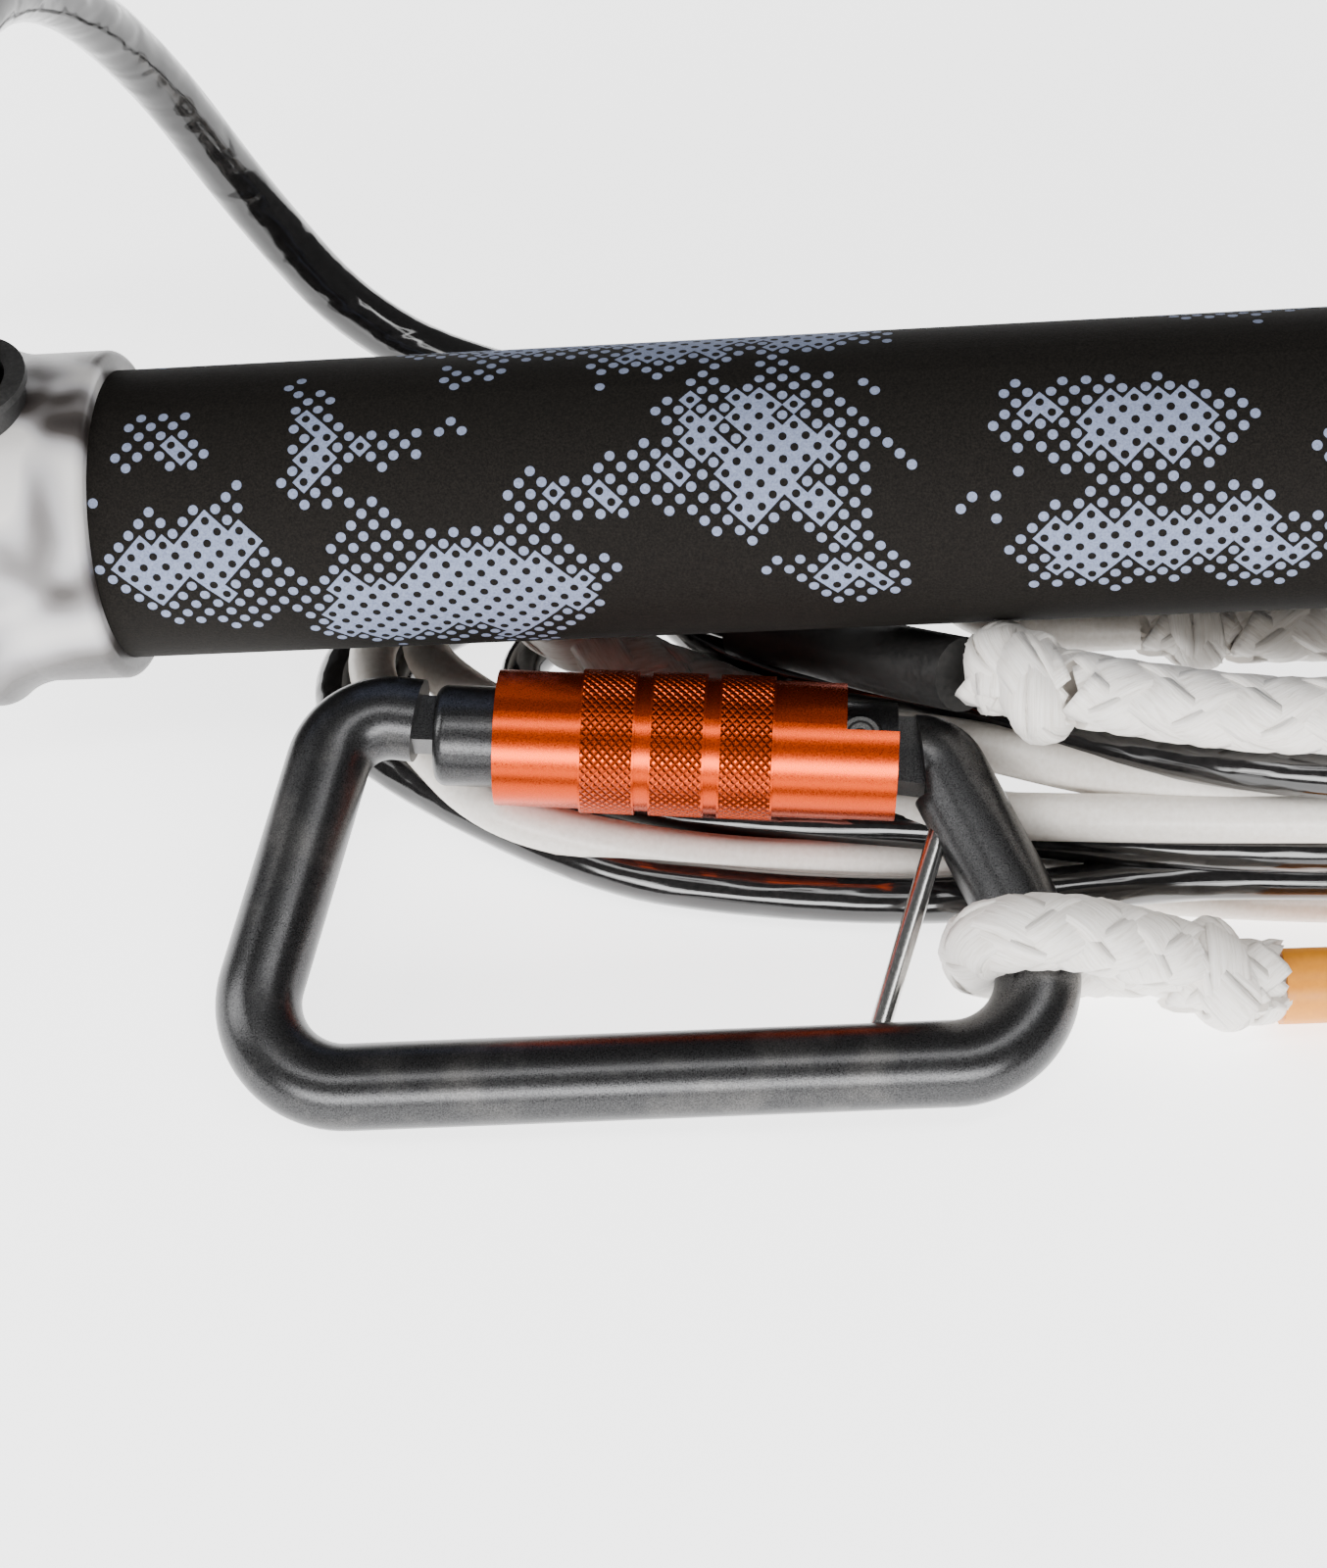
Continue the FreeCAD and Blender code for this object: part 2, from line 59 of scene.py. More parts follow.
# Carabiner and gate
CARABINER_AT = (-63, -45.25, 6.29)
CARABINER_TURN = (16, -1.5, 1.7)
PIVOT = (28.1, 41.2, 0)
GATE_SLOPE = 5.0
SLEEVE_R = 8.6
BAND_STARTS = (-34.9, -26.2, -17.6)
BAND_LENGTH = 6.9

# Rope
LINE_R = 3.1
BRIDLE_R = 4.0
YELLOW_R = 4.8
COVER_R = 4.75
BRAID_R = 4.7
KNOT_R = 7.3
KNOT_LENGTH = 14.6


def placement(at, turn):
    """A piece's own frame in the row frame, in metres."""
    angles = [math.radians(a) for a in turn]
    return Matrix.Translation(Vector(at) * MM) @ Euler(angles, "XYZ").to_matrix().to_4x4()


HANDLE = placement(HANDLE_AT, HANDLE_TURN)
CARABINER = placement(CARABINER_AT, CARABINER_TURN)
GATE = CARABINER @ placement(PIVOT, (0, 0, -GATE_SLOPE))


def spot(matrix, x, y, z):
    """A point given in a piece's own millimetres, in the row frame's millimetres."""
    return tuple(matrix @ (Vector((x, y, z)) * MM) / MM)


# ---------------------------------------------------------------- node helpers


class Nodes:
    """Short calls that add and join shader nodes."""

    def __init__(self, name):
        self.material = bpy.data.materials.new(name)
        self.material.use_nodes = True
        self.tree = self.material.node_tree
        self.tree.nodes.clear()
        self.shader = self.tree.nodes.new("ShaderNodeBsdfPrincipled")
        output = self.tree.nodes.new("ShaderNodeOutputMaterial")
        self.tree.links.new(self.shader.outputs[0], output.inputs[0])

    def new(self, kind, **values):
        node = self.tree.nodes.new("ShaderNode" + kind)
        for key, value in values.items():
            setattr(node, key, value)
        return node

    def set(self, socket, value):
        if isinstance(value, bpy.types.NodeSocket):
            self.tree.links.new(value, socket)
        elif value is not None:
            socket.default_value = value

    def math(self, operation, a, b=None, c=None):
        node = self.new("Math", operation=operation)
        for socket, value in zip(node.inputs, (a, b, c)):
            self.set(socket, value)
        return node.outputs[0]

    def vector(self, operation, a, b=None):
        node = self.new("VectorMath", operation=operation)
        self.set(node.inputs[0], a)
        if b is not None:
            self.set(node.inputs[1], b)
        return node.outputs[0]

    def local(self, matrix=None):
        """Rest position in a piece's own frame, in millimetres."""
        place = self.new("TexCoord").outputs["Object"]
        if matrix is not None:
            mapping = self.new("Mapping", vector_type="TEXTURE")
            self.set(mapping.inputs["Vector"], place)
            self.set(mapping.inputs["Location"], matrix.to_translation())
            self.set(mapping.inputs["Rotation"], matrix.to_euler("XYZ"))
            place = mapping.outputs[0]
        return self.scaled(place, 1 / MM)

    def scaled(self, vector, factor):
        node = self.new("VectorMath", operation="SCALE")
        self.set(node.inputs[0], vector)
        self.set(node.inputs["Scale"], factor)
        return node.outputs[0]

    def split(self, vector):
        node = self.new("SeparateXYZ")
        self.set(node.inputs[0], vector)
        return node.outputs

    def join(self, x, y, z):
        node = self.new("CombineXYZ")
        for socket, value in zip(node.inputs, (x, y, z)):
            self.set(socket, value)
        return node.outputs[0]

    def noise(self, vector, scale, detail=2.0, roughness=0.5, distortion=0.0):
        node = self.new("TexNoise")
        self.set(node.inputs["Vector"], vector)
        self.set(node.inputs["Scale"], scale)
        self.set(node.inputs["Detail"], detail)
        self.set(node.inputs["Roughness"], roughness)
        self.set(node.inputs["Distortion"], distortion)
        return node.outputs["Fac"]

    def ramp(self, value, stops):
        node = self.new("ValToRGB")
        self.set(node.inputs[0], value)
        elements = node.color_ramp.elements
        while len(elements) < len(stops):
            elements.new(0.5)
        for element, (position, color) in zip(elements, stops):
            element.position = position
            element.color = (*color, 1)
        return node.outputs[0]

    def mix(self, factor, a, b):
        node = self.new("Mix", data_type="RGBA")
        self.set(node.inputs["Factor"], factor)
        self.set(node.inputs[6], a)
        self.set(node.inputs[7], b)
        return node.outputs[2]

    def range(self, value, low, high, to_low, to_high):
        node = self.new("MapRange")
        for socket, item in zip(node.inputs, (value, low, high, to_low, to_high)):
            self.set(socket, item)
        return node.outputs[0]

    def bump(self, height, strength, distance=0.0003, normal=None):
        node = self.new("Bump")
        self.set(node.inputs["Height"], height)
        self.set(node.inputs["Strength"], strength)
        self.set(node.inputs["Distance"], distance)
        if normal is not None:
            self.set(node.inputs["Normal"], normal)
        return node.outputs[0]

    def finish(self, color=None, roughness=None, normal=None, **levels):
        self.set(self.shader.inputs["Base Color"], color)
        self.set(self.shader.inputs["Roughness"], roughness)
        self.set(self.shader.inputs["Normal"], normal)
        for key, value in levels.items():
            self.shader.inputs[key.replace("_", " ")].default_value = value
        return self.material


# ---------------------------------------------------------------- materials


def grip_foam():
    """Matt black foam with a printed camouflage of light dots: black, dots, and light with small holes."""
    n = Nodes("grip_foam")
    x, y, z = n.split(n.local(HANDLE))
    # distance round the grip from its top, towards the carabiner
    around = n.math("MULTIPLY", n.math("ARCTAN2", n.math("MULTIPLY", y, -1.0), z), GRIP_R)
    pitch = 1.98
    diagonal_a = n.math("DIVIDE", n.math("ADD", x, around), pitch * math.sqrt(2))
    diagonal_b = n.math("DIVIDE", n.math("SUBTRACT", x, around), pitch * math.sqrt(2))
    cell_a = n.math("ROUND", diagonal_a)
    cell_b = n.math("ROUND", diagonal_b)
    off = n.join(n.math("SUBTRACT", diagonal_a, cell_a), n.math("SUBTRACT", diagonal_b, cell_b), 0.0)
    distance = n.new("VectorMath", operation="LENGTH")
    n.set(distance.inputs[0], off)
    distance = distance.outputs["Value"]
    half = pitch / math.sqrt(2)
    cell_x = n.math("MULTIPLY", n.math("ADD", cell_a, cell_b), half)
    cell_v = n.math("MULTIPLY", n.math("SUBTRACT", cell_a, cell_b), half)
    ragged = n.noise(n.join(cell_x, cell_v, 3.0), 0.11, 2.0, 0.6)
    ragged = n.math("MULTIPLY", n.math("SUBTRACT", ragged, 0.56), 2.6)
    # blotches: x, distance round, their half sizes, and how light they get
    blotches = [
        (-121, 6, 8, 6, 0.75),
        (-120, 20, 11, 9, 1.0),
        (-103, 9, 4, 9, 1.1),
        (-88, 27, 18, 9, 1.35),
        (-92, 7, 12, 4, 0.7),
        (-73, 14, 15, 6, 0.75),
        (-48, 11, 12, 11, 1.3),
        (-36, 26, 10, 5, 0.75),
        (0, 23, 17, 6, 1.3),
        (-4, 9, 15, 8, 1.0),
        (48, 14, 22, 9, 1.3),
        (92, 22, 20, 11, 1.2),
        (120, 6, 9, 9, 0.9),
        (-60, -14, 26, 10, 1.2),
        (-110, -22, 14, 9, 1.1),
        (10, -24, 22, 10, 1.2),
        (70, -12, 24, 9, 1.1),
        (118, -28, 14, 8, 0.9),
        (-30, -46, 30, 8, 1.2),
        (60, 48, 30, 7, 1.1),
    ]
    tone = None
    for bx, bv, half_x, half_v, level in blotches:
        dx = n.math("DIVIDE", n.math("SUBTRACT", cell_x, bx), half_x)
        dv = n.math("DIVIDE", n.math("SUBTRACT", cell_v, bv), half_v)
        reach = n.new("VectorMath", operation="LENGTH")
        n.set(reach.inputs[0], n.join(dx, dv, 0.0))
        here = n.math("SUBTRACT", level + 0.55, reach.outputs["Value"])
        tone = here if tone is None else n.math("MAXIMUM", tone, here)
    tone = n.math("ADD", tone, ragged)
    dots = n.math("MULTIPLY", n.math("GREATER_THAN", tone, 0.45), n.math("LESS_THAN", distance, 0.31))
    fill = n.math("MULTIPLY", n.math("GREATER_THAN", tone, 0.95), n.math("GREATER_THAN", distance, 0.26))
    light = n.math("MAXIMUM", n.math("MULTIPLY", dots, n.math("LESS_THAN", tone, 0.95)), fill)
    grain = n.noise(n.local(), 3.5, 3.0, 0.7)
    black = n.ramp(grain, [(0.35, (0.003, 0.0025, 0.002)), (0.75, (0.014, 0.012, 0.01))])
    ink = n.ramp(grain, [(0.3, (0.13, 0.155, 0.24)), (0.7, (0.25, 0.29, 0.41))])
    color = n.mix(light, black, ink)
    cells = n.noise(n.local(), 2.2, 4.0, 0.65)
    rough = n.range(grain, 0, 1, 0.78, 0.95)
    return n.finish(color, rough, n.bump(cells, 0.35, 0.0002), Specular_IOR_Level=0.12)


def cap_rubber():
    """Satin rubber swirled from white through grey to charcoal, with painted shade that makes it lighter
    over the top and darker underneath.
    """
    n = Nodes("cap_rubber")
    place = n.local(HANDLE)
    x, y, z = n.split(place)
    down = n.math("ARCTAN2", n.math("MULTIPLY", y, -1.0), z)
    swirl = n.noise(place, 0.03, 1.0, 0.4, 2.0)
    # painted shade: the cap is made lighter over its top and darker underneath, as the light falls
    lean = n.math("MULTIPLY", n.math("COSINE", n.math("SUBTRACT", down, 0.3)), 0.4)
    swing = n.math("MULTIPLY", n.math("SUBTRACT", swirl, 0.44), 1.4)
    veins = n.math("MULTIPLY", n.noise(place, 0.09, 2, 0.4), 0.2)
    value = n.math("ADD", n.math("ADD", swing, lean), veins)
    value = n.math("ADD", value, 0.2)
    color = n.ramp(
        value,
        [
            (0.42, (0.018, 0.014, 0.013)),
            (0.54, (0.05, 0.043, 0.04)),
            (0.64, (0.19, 0.18, 0.18)),
            (0.74, (0.42, 0.41, 0.42)),
            (0.92, (0.7, 0.68, 0.66)),
        ],
    )
    fine = n.noise(place, 1.6, 4, 0.6)
    rough = n.range(fine, 0, 1, 0.34, 0.5)
    return n.finish(color, rough, n.bump(fine, 0.06), Coat_Weight=0.1, Coat_Roughness=0.3)


def plain_rubber():
    n = Nodes("plain_rubber")
    fine = n.noise(n.local(), 2.4, 4, 0.6)
    color = n.ramp(fine, [(0.3, (0.012, 0.012, 0.012)), (0.8, (0.035, 0.034, 0.033))])
    return n.finish(color, n.range(fine, 0, 1, 0.45, 0.65), n.bump(fine, 0.12))


def float_foam():
    n = Nodes("float_foam")
    fine = n.noise(n.local(), 1.4, 5, 0.7)
    color = n.ramp(fine, [(0.3, (0.5, 0.5, 0.5)), (0.8, (0.75, 0.75, 0.75))])
    return n.finish(color, 0.9, n.bump(fine, 0.4))


def blasted_black():
    """Bead-blasted black anodising: fine sparkle, and lighter wear in patches scattered at random."""
    n = Nodes("blasted_black")
    place = n.local(CARABINER)
    sparkle = n.noise(place, 5.5, 2, 0.6)
    cloud = n.noise(place, 0.12, 4, 0.6)
    dark = n.ramp(sparkle, [(0.3, (0.024, 0.024, 0.025)), (0.8, (0.095, 0.095, 0.096))])
    worn = n.ramp(sparkle, [(0.3, (0.05, 0.049, 0.048)), (0.8, (0.16, 0.155, 0.15))])
    color = n.mix(n.range(cloud, 0.52, 0.75, 0, 1), dark, worn)
    rough = n.range(n.math("ADD", sparkle, cloud), 0.6, 1.4, 0.24, 0.36)
    return n.finish(color, rough, n.bump(sparkle, 0.13, 0.0001), Metallic=0.9)


def polished_steel():
    """Polished steel; on the rivet's head a turned ring and a dimple about the hinge's axis are painted dark
    as shade in the groove and hollow.
    """
    n = Nodes("polished_steel")
    place = n.local(CARABINER)
    fine = n.noise(place, 3.0, 4, 0.7)
    color = n.ramp(fine, [(0.3, (0.36, 0.36, 0.35)), (0.8, (0.55, 0.54, 0.53))])
    x, y, _ = n.split(n.local(GATE))
    away = n.new("VectorMath", operation="LENGTH")
    n.set(away.inputs[0], n.join(x, y, 0.0))
    away = away.outputs["Value"]
    # painted shade: the ring groove and the dimple below are darkened in the colour
    ring = n.math("LESS_THAN", n.math("ABSOLUTE", n.math("SUBTRACT", away, 1.62)), 0.16)
    dimple = n.math("LESS_THAN", n.math("ADD", away, n.math("MULTIPLY", fine, 0.8)), 1.15)
    color = n.mix(n.math("MAXIMUM", ring, dimple), color, (0.09, 0.088, 0.085, 1))
    return n.finish(color, n.range(fine, 0, 1, 0.12, 0.3), n.bump(fine, 0.05, 0.0001), Metallic=1.0)


def drawn_aluminium():
    n = Nodes("drawn_aluminium")
    x, y, z = n.split(n.local(HANDLE))
    lines = n.noise(n.join(n.math("MULTIPLY", x, 0.02), y, z), 2.5, 3, 0.7)
    color = n.ramp(lines, [(0.3, (0.5, 0.5, 0.51)), (0.8, (0.72, 0.72, 0.73))])
    return n.finish(color, n.range(lines, 0, 1, 0.25, 0.45), n.bump(lines, 0.08), Metallic=1.0)


def orange_anodised():
    """Satin orange anodising with three knurled bands whose grooves are darkened as painted shade."""
    n = Nodes("orange_anodised")
    x, y, z = n.split(n.local(GATE))
    around = n.math("MULTIPLY", n.math("ARCTAN2", y, z), SLEEVE_R + 0.5)
    wide, high = 1.06, 0.6
    a = n.math("FRACT", n.math("ADD", n.math("DIVIDE", x, wide), n.math("DIVIDE", around, high * 2)))
    b = n.math("FRACT", n.math("SUBTRACT", n.math("DIVIDE", x, wide), n.math("DIVIDE", around, high * 2)))
    ridge_a = n.math("ABSOLUTE", n.math("SUBTRACT", a, 0.5))
    ridge_b = n.math("ABSOLUTE", n.math("SUBTRACT", b, 0.5))
    crest = n.math("MINIMUM", ridge_a, ridge_b)
    band = None
    for start in BAND_STARTS:
        middle = start + BAND_LENGTH / 2
        away = n.math("ABSOLUTE", n.math("SUBTRACT", x, middle))
        inside = n.math("LESS_THAN", away, BAND_LENGTH / 2 - 0.25)
        band = inside if band is None else n.math("MAXIMUM", band, inside)
    height = n.math("MULTIPLY", n.range(crest, 0.0, 0.3, 0, 1), band)
    # painted shade: the colour is darkened down in the knurl's grooves
    groove_shade = n.math("MULTIPLY", n.range(crest, 0.0, 0.12, 1, 0), band)
    fine = n.noise(n.local(GATE), 4.0, 3, 0.6)
    color = n.ramp(fine, [(0.3, (0.5, 0.042, 0.001)), (0.8, (0.66, 0.07, 0.002))])
    color = n.mix(groove_shade, color, (0.16, 0.018, 0.002, 1))
    grain = n.bump(fine, 0.05, 0.0001)
    rough = n.range(fine, 0, 1, 0.22, 0.34)
    return n.finish(color, rough, n.bump(height, 0.9, 0.00035, grain), Metallic=0.95)


def nylon():
    n = Nodes("nylon")
    fine = n.noise(n.local(), 3, 3, 0.5)
    color = n.ramp(fine, [(0.3, (0.03, 0.03, 0.03)), (0.8, (0.06, 0.06, 0.06))])
    return n.finish(color, 0.5, n.bump(fine, 0.05))


def coated(name, low, high, roughness, wrinkle, coat):
    """A smooth plastic coat drawn over a braid, which shows through as soft waves."""
    n = Nodes(name)
    place = n.local()
    x, y, z = n.split(place)
    waves = n.noise(n.join(n.math("MULTIPLY", x, 0.3), y, z), 0.22, 1, 0.4, 0.4)
    fine = n.noise(place, 1.3, 3, 0.6)
    color = n.ramp(fine, [(0.3, low), (0.75, high)])
    soft = n.bump(waves, wrinkle, 0.0012)
    rough = n.range(fine, 0.2, 0.8, roughness * 0.8, roughness * 1.3)
    return n.finish(color, rough, n.bump(fine, 0.03, 0.0001, soft), Coat_Weight=coat, Coat_Roughness=0.08)


def white_braid():
    """Loose filaments along each strand: UV v runs along the strand, u across it."""
    n = Nodes("white_braid")
    uv = n.new("TexCoord").outputs["UV"]
    u, v, _ = n.split(uv)
    stretched = n.join(n.math("MULTIPLY", u, 9.0), n.math("MULTIPLY", v, 0.7), 0.0)
    strands = n.noise(stretched, 1.0, 3, 0.7, 0.4)
    broad = n.noise(n.local(), 0.25, 2, 0.5)
    filaments = [(0.25, (0.6, 0.55, 0.49)), (0.5, (0.84, 0.8, 0.75)), (0.8, (0.93, 0.91, 0.88))]
    color = n.ramp(strands, filaments)
    color = n.mix(n.range(broad, 0.4, 0.8, 0, 0.35), color, (0.72, 0.68, 0.62, 1))
    rough = n.range(strands, 0, 1, 0.45, 0.65)
    return n.finish(color, rough, n.bump(strands, 0.5, 0.0003), Sheen_Weight=0.3)


def strap():
    n = Nodes("strap")
    x, y, z = n.split(n.local())
    warp = n.math("SINE", n.math("MULTIPLY", x, 7.0))
    weft = n.math("SINE", n.math("MULTIPLY", n.math("ADD", y, z), 5.0))
    weave = n.math("MULTIPLY", warp, weft)
    fuzz = n.noise(n.local(), 3.0, 3, 0.7)
    shade = n.math("ADD", n.math("MULTIPLY", weave, 0.25), fuzz)
    color = n.ramp(shade, [(0.2, (0.01, 0.01, 0.01)), (0.9, (0.05, 0.05, 0.05))])
    return n.finish(color, 0.85, n.bump(n.math("ADD", weave, fuzz), 0.5), Sheen_Weight=0.2)


def floor_paper():
    n = Nodes("floor_paper")
    fine = n.noise(n.local(), 0.05, 3, 0.5)
    color = n.ramp(fine, [(0.3, (0.86, 0.86, 0.86)), (0.8, (0.9, 0.9, 0.9))])
    n.shader.inputs["Emission Color"].default_value = (1, 1, 1, 1)
    return n.finish(color, 0.9, Emission_Strength=2.6)


# ---------------------------------------------------------------- shapes


def nurbs(name, points, radius=0.0, smooth=8):
    """A smooth open line with these millimetre points as its control points."""
    curve = bpy.data.curves.new(name, "CURVE")
    curve.dimensions = "3D"
    spline = curve.splines.new("NURBS")
    spline.points.add(len(points) - 1)
    for point, place in zip(spline.points, points):
        point.co = (*(Vector(place) * MM), 1)
    spline.order_u = 3
    spline.use_endpoint_u = True
    spline.resolution_u = smooth
    curve.bevel_depth = radius * MM
    curve.bevel_resolution = 6
    curve.use_fill_caps = True
    piece = bpy.data.objects.new(name, curve)
    bpy.context.scene.collection.objects.link(piece)
    return piece


def line_of(points, smooth=12):
    """Points along the smooth line, read from Blender's own spline, in metres."""
    guide = nurbs("guide", points, 0.0, smooth)
    bpy.context.view_layer.update()
    mesh = bpy.data.meshes.new_from_object(guide)
    found = [v.co.copy() for v in mesh.vertices]
    bpy.data.objects.remove(guide)
    return found


def frames_along(path):
    """At each point of a line: the point, two directions across it, and the distance travelled."""
    frames = []
    travelled = 0.0
    side = None
    for i, here in enumerate(path):
        before = path[max(i - 1, 0)]
        after = path[min(i + 1, len(path) - 1)]
        along = (after - before).normalized()
        if side is None:
            side = along.orthogonal().normalized()
        side = (side - along * side.dot(along)).normalized()
        if i:
            travelled += (here - before).length
        frames.append((here, side, along.cross(side), travelled))
    return frames


def even(path, step):
    """The same line with points a step apart."""
    points = [path[0]]
    left = step
    for a, b in zip(path, path[1:]):
        run = (b - a).length
        while left <= run:
            points.append(a.lerp(b, left / run))
            left += step
        left -= run
    points.append(path[-1])
    return points


def strand_strip(bm, uv_layer, centres, outs, sides, half_width, half_thick, v_scale):
    """One strand as a flattened tube along its centres."""
    corners = 8
    rings = []
    for centre, out, side in zip(centres, outs, sides):
        ring = []
        for k in range(corners):
            angle = 2 * math.pi * k / corners
            offset = side * (half_width * math.cos(angle)) + out * (half_thick * math.sin(angle))
            ring.append(bm.verts.new(centre + offset))
        rings.append(ring)
    for i in range(len(rings) - 1):
        for k in range(corners):
            after = (k + 1) % corners
            face = bm.faces.new((rings[i][k], rings[i][after], rings[i + 1][after], rings[i + 1][k]))
            face.smooth = True
            for loop, (u, v) in zip(face.loops, ((k, i), (k + 1, i), (k + 1, i + 1), (k, i + 1))):
                loop[uv_layer].uv = (u / 2, v * v_scale)
    for ring, flip in ((rings[0], True), (rings[-1], False)):
        bm.faces.new(list(reversed(ring)) if flip else ring)


def braid_mesh(bm, uv_layer, path, radius, strands=4, lay=40.0):
    """Interlaced strands round a line: as many one way as the other, each over and under by turns."""
    frames = frames_along(even(path, 0.0008))
    turn_per_metre = 2 * math.pi / (lay * MM)
    spacing = 2 * math.pi / strands
    thick = radius * 0.2
    middle = radius - thick - radius * 0.07
    half_width = math.pi * radius / strands * 0.86
    for hand in (1, -1):
        for i in range(strands):
            centres, outs = [], []
            for here, side, up, s in frames:
                angle = i * spacing + hand * turn_per_metre * s
                out = side * math.cos(angle) + up * math.sin(angle)
                weave = hand * math.cos(2 * math.pi * turn_per_metre * s / spacing)
                reach = middle + weave * radius * 0.085
                centres.append(here + out * reach)
                outs.append(out)
            sides = []
            for j, centre in enumerate(centres):
                along = centres[min(j + 1, len(centres) - 1)] - centres[max(j - 1, 0)]
                sides.append(along.cross(outs[j]).normalized())
            strand_strip(bm, uv_layer, centres, outs, sides, half_width, thick, 0.35)


def core_mesh(bm, path, radius):
    """A plain inner tube that closes the gaps between strands."""
    frames = frames_along(even(path, 0.0015))
    rings = []
    for here, side, up, _ in frames:
        ring = []
        for k in range(12):
            angle = 2 * math.pi * k / 12
            ring.append(bm.verts.new(here + (side * math.cos(angle) + up * math.sin(angle)) * radius))
        rings.append(ring)
    for a, b in zip(rings, rings[1:]):
        for k in range(12):
            bm.faces.new((a[k], a[(k + 1) % 12], b[(k + 1) % 12], b[k])).smooth = True
    bm.faces.new(list(reversed(rings[0])))
    bm.faces.new(rings[-1])


def braided(name, paths, material, strands=4, lay=40.0):
    """A braided piece made of one or more stretches, each a line in metres and its radius in millimetres."""
    bm = bmesh.new()
    uv_layer = bm.loops.layers.uv.new("UVMap")
    for path, radius in paths:
        core_mesh(bm, path, radius * MM * 0.78)
        braid_mesh(bm, uv_layer, path, radius * MM, strands, lay)
    mesh = bpy.data.meshes.new(name)
    bm.to_mesh(mesh)
    bm.free()
    mesh.materials.append(material)
    piece = bpy.data.objects.new(name, mesh)
    bpy.context.scene.collection.objects.link(piece)
    return piece


def knot_paths(centre, along, radius, length, lean=0.5, start=0.0):
    """A tight overhand knot: the rope through the middle, and its own turn wrapped round it."""
    along = Vector(along).normalized()
    side = along.cross(Vector((0, 0, 1))).normalized()
    up = side.cross(along)
    centre = Vector(centre)
    half = length / 2
    rope = radius * 0.5
    wrap = []
    steps = 14
    for i in range(steps + 1):
        t = i / steps
        angle = start + 2 * math.pi * 1.5 * t
        reach = (radius - rope) * math.sin(math.pi * min(max(t, 0.06), 0.94)) ** 0.35
        x = half * (lean * math.cos(angle + 0.6) * 0.55 + (t - 0.5) * 0.9)
        out = side * math.cos(angle) + up * math.sin(angle)
        wrap.append(tuple(centre + along * x + out * reach))
    core = [tuple(centre + along * (half * t)) for t in (-0.8, -0.3, 0.3, 0.8)]
    return [(line_of(core), rope * 1.25), (line_of(wrap), rope * 1.06)]


def on_root(piece, material, *nodes, material_slot=None):
    """The piece gets its material (material_slot is not used), stands for its CAD nodes and rides on the
    root body.
    """
    piece.data.materials.clear()
    piece.data.materials.append(material)
    if nodes:
        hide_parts(*nodes)
    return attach(piece, ROOT)


# ---------------------------------------------------------------- camera, light and floor


def set_camera():
    data = bpy.data.cameras.new("camera")
    data.lens = 70
    data.sensor_width = 36
    camera = bpy.data.objects.new("camera", data)
    camera.location = (-0.061, -0.2445, 0.3186)
    camera.rotation_euler = (math.radians(38), 0, 0)
    bpy.context.scene.collection.objects.link(camera)
    bpy.context.scene.camera = camera


def soft_light(name, place, aim, size, watts, color=(1, 1, 1)):
    data = bpy.data.lights.new(name, "AREA")
    data.shape = "RECTANGLE"
    data.size, data.size_y = size
    data.energy = watts
    data.color = color
    light = bpy.data.objects.new(name, data)
    light.location = place
    light.rotation_euler = (Vector(aim) - Vector(place)).to_track_quat("-Z", "Y").to_euler()
    bpy.context.scene.collection.objects.link(light)


def set_stage():
    bm = bmesh.new()
    bmesh.ops.create_grid(bm, x_segments=8, y_segments=8, size=3.0)
    mesh = bpy.data.meshes.new("floor")
    bm.to_mesh(mesh)
    bm.free()
    floor = bpy.data.objects.new("floor", mesh)
    floor.location.z = -0.0002
    mesh.materials.append(floor_paper())
    bpy.context.scene.collection.objects.link(floor)
    world = bpy.data.worlds.new("studio")
    world.use_nodes = True
    world.node_tree.nodes["Background"].inputs["Color"].default_value = (1, 1, 1, 1)
    world.node_tree.nodes["Background"].inputs["Strength"].default_value = 0.14
    bpy.context.scene.world = world
    soft_light("front", (-0.1, -1.0, 0.42), (0, 0, 0.02), (1.3, 0.32), 22)
    soft_light("left", (-0.9, 0.0, 0.5), (0, 0, 0.02), (0.3, 0.7), 5)
    soft_light("above", (0.05, -0.2, 1.0), (0, 0, 0.02), (1.2, 0.14), 5)


# ---------------------------------------------------------------- the hank


RIGHT_MIDDLE = 156.0
LEFT_MIDDLE = -35.0


def bend(centre_x, reach, front, back, angles):
    """Points round an end of the hank, from a front (y, z) to a back (y, z) or the other way."""
    points = []
    for angle in angles:
        turn = math.radians(angle)
        share = (1 + math.sin(turn)) / 2
        y = (front[0] + back[0]) / 2 + (back[0] - front[0]) / 2 * math.sin(turn) * 1.02
        z = front[1] + (back[1] - front[1]) * share
        points.append((centre_x + reach * math.cos(turn) * 1.02, y, z))
    return points


FRONT_XS = (24, 52, 80, 108, 134)
TIE_X = 159


def tied(place):
    """A place in the tie: a little higher, and squeezed."""
    y, z = place
    return (TIE_X, y * 0.985 + 0.25, 4.8 + (z - 3.1) * 0.9)


def front_run(place):
    """Left to right along the front of the hank, as far as the right bend."""
    return [(x, *place) for x in FRONT_XS] + [tied(place)]


def right_bend(place, back, reach):
    """From the front round the right end to the back."""
    return bend(RIGHT_MIDDLE + 14, reach - 14, place, back, (-62, -36, -12, 12, 36, 62)) + [tied(back)]


def back_run(place, last_x=-28):
    """Right to left along the back of the hank."""
    return [(x, *place) for x in (134, 105, 75, 45, 15, last_x)]


def left_bend(back, front, reach, low_z):
    """From the back round the left end to the front, at one height."""
    return bend(LEFT_MIDDLE, -reach, (front[0], low_z), (back[0], low_z), (68, 45, 20, -5, -28))


